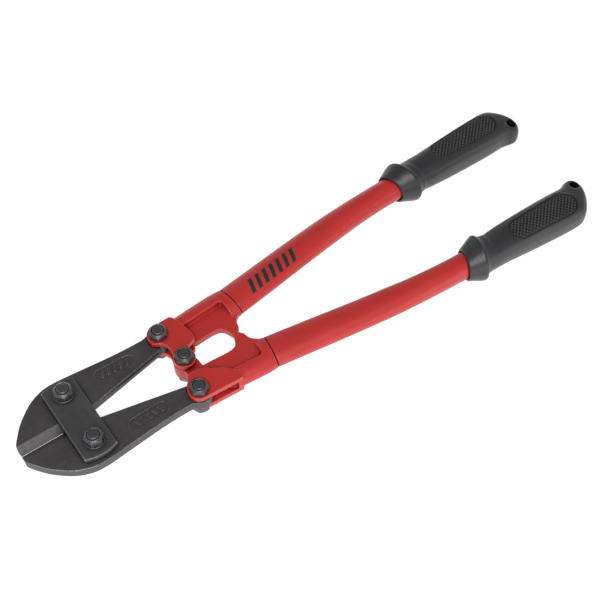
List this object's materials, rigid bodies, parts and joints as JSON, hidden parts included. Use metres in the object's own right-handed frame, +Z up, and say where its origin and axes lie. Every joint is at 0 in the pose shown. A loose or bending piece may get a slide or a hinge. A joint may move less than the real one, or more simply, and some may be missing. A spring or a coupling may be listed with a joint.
{
  "type": "bolt cutters",
  "caption": "Long-handled compound-leverage cutters with two pivoted steel jaws, red tubular handles and black ribbed grips with hanging holes.",
  "frame": {"origin": "centre of the underside of the bounding box, with the jaws closed", "axes": "+X from the jaws to the grips, +Y to the right-hand handle as the user looks towards the jaws, +Z up, square to the plane in which the handles open"},
  "size_m": [0.45, 0.123, 0.0334],
  "materials": {
    "jaw_steel": "dark forged",
    "strap_steel": "black oxide, worn edges",
    "fastener_steel": "black zinc",
    "red_paint": "satin enamel",
    "grip_rubber": "satin moulded"
  },
  "bodies": {
    "head_frame": {"top_strap": "strap_steel", "bottom_strap": "strap_steel", "right_jaw_bolt": "fastener_steel", "left_jaw_bolt": "fastener_steel", "right_jaw_washer": "fastener_steel", "left_jaw_washer": "fastener_steel", "right_jaw_nut": "fastener_steel", "left_jaw_nut": "fastener_steel"},
    "right_jaw": {"right_jaw": "jaw_steel"},
    "left_jaw": {"left_jaw": "jaw_steel"},
    "centre_pivot": {"centre_bolt": "fastener_steel", "centre_nut": "fastener_steel"},
    "right_handle": {"right_yoke": "red_paint", "right_link_bolt": "fastener_steel", "right_link_nut": "fastener_steel", "right_tube": "red_paint", "right_grip": "grip_rubber"},
    "left_handle": {"left_yoke": "red_paint", "left_link_bolt": "fastener_steel", "left_link_nut": "fastener_steel", "left_tube": "red_paint", "left_grip": "grip_rubber"}
  },
  "joints": [
    {"name": "pivot_slide", "type": "slide", "parent": "head_frame", "child": "centre_pivot", "axis": [1, 0, 0], "range_m": [0, 0.0168]},
    {"name": "right_handle_swing", "type": "hinge", "parent": "centre_pivot", "child": "right_handle", "pos_m": [-0.1009, 0, 0.0167], "axis": [0, 0, 1], "range_deg": [0, 40]},
    {"name": "left_handle_swing", "type": "hinge", "parent": "centre_pivot", "child": "left_handle", "pos_m": [-0.1009, 0, 0.0167], "axis": [0, 0, 1], "range_deg": [-40.5, 0]},
    {"name": "right_jaw_swing", "type": "hinge", "parent": "head_frame", "child": "right_jaw", "pos_m": [-0.1816, 0.0206, 0.0167], "axis": [0, 0, 1], "range_deg": [-6.6, 0]},
    {"name": "left_jaw_swing", "type": "hinge", "parent": "head_frame", "child": "left_jaw", "pos_m": [-0.1816, -0.0206, 0.0167], "axis": [0, 0, 1], "range_deg": [0, 6.6]}
  ],
  "couplings": [
    {"joint": "left_handle_swing", "follows": "right_handle_swing", "ratio": -1},
    {"joint": "right_jaw_swing", "follows": "right_handle_swing", "ratio": -0.16},
    {"joint": "left_jaw_swing", "follows": "right_handle_swing", "ratio": 0.16},
    {"joint": "pivot_slide", "follows": "right_handle_swing", "m_per_rad": 0.0237}
  ]
}
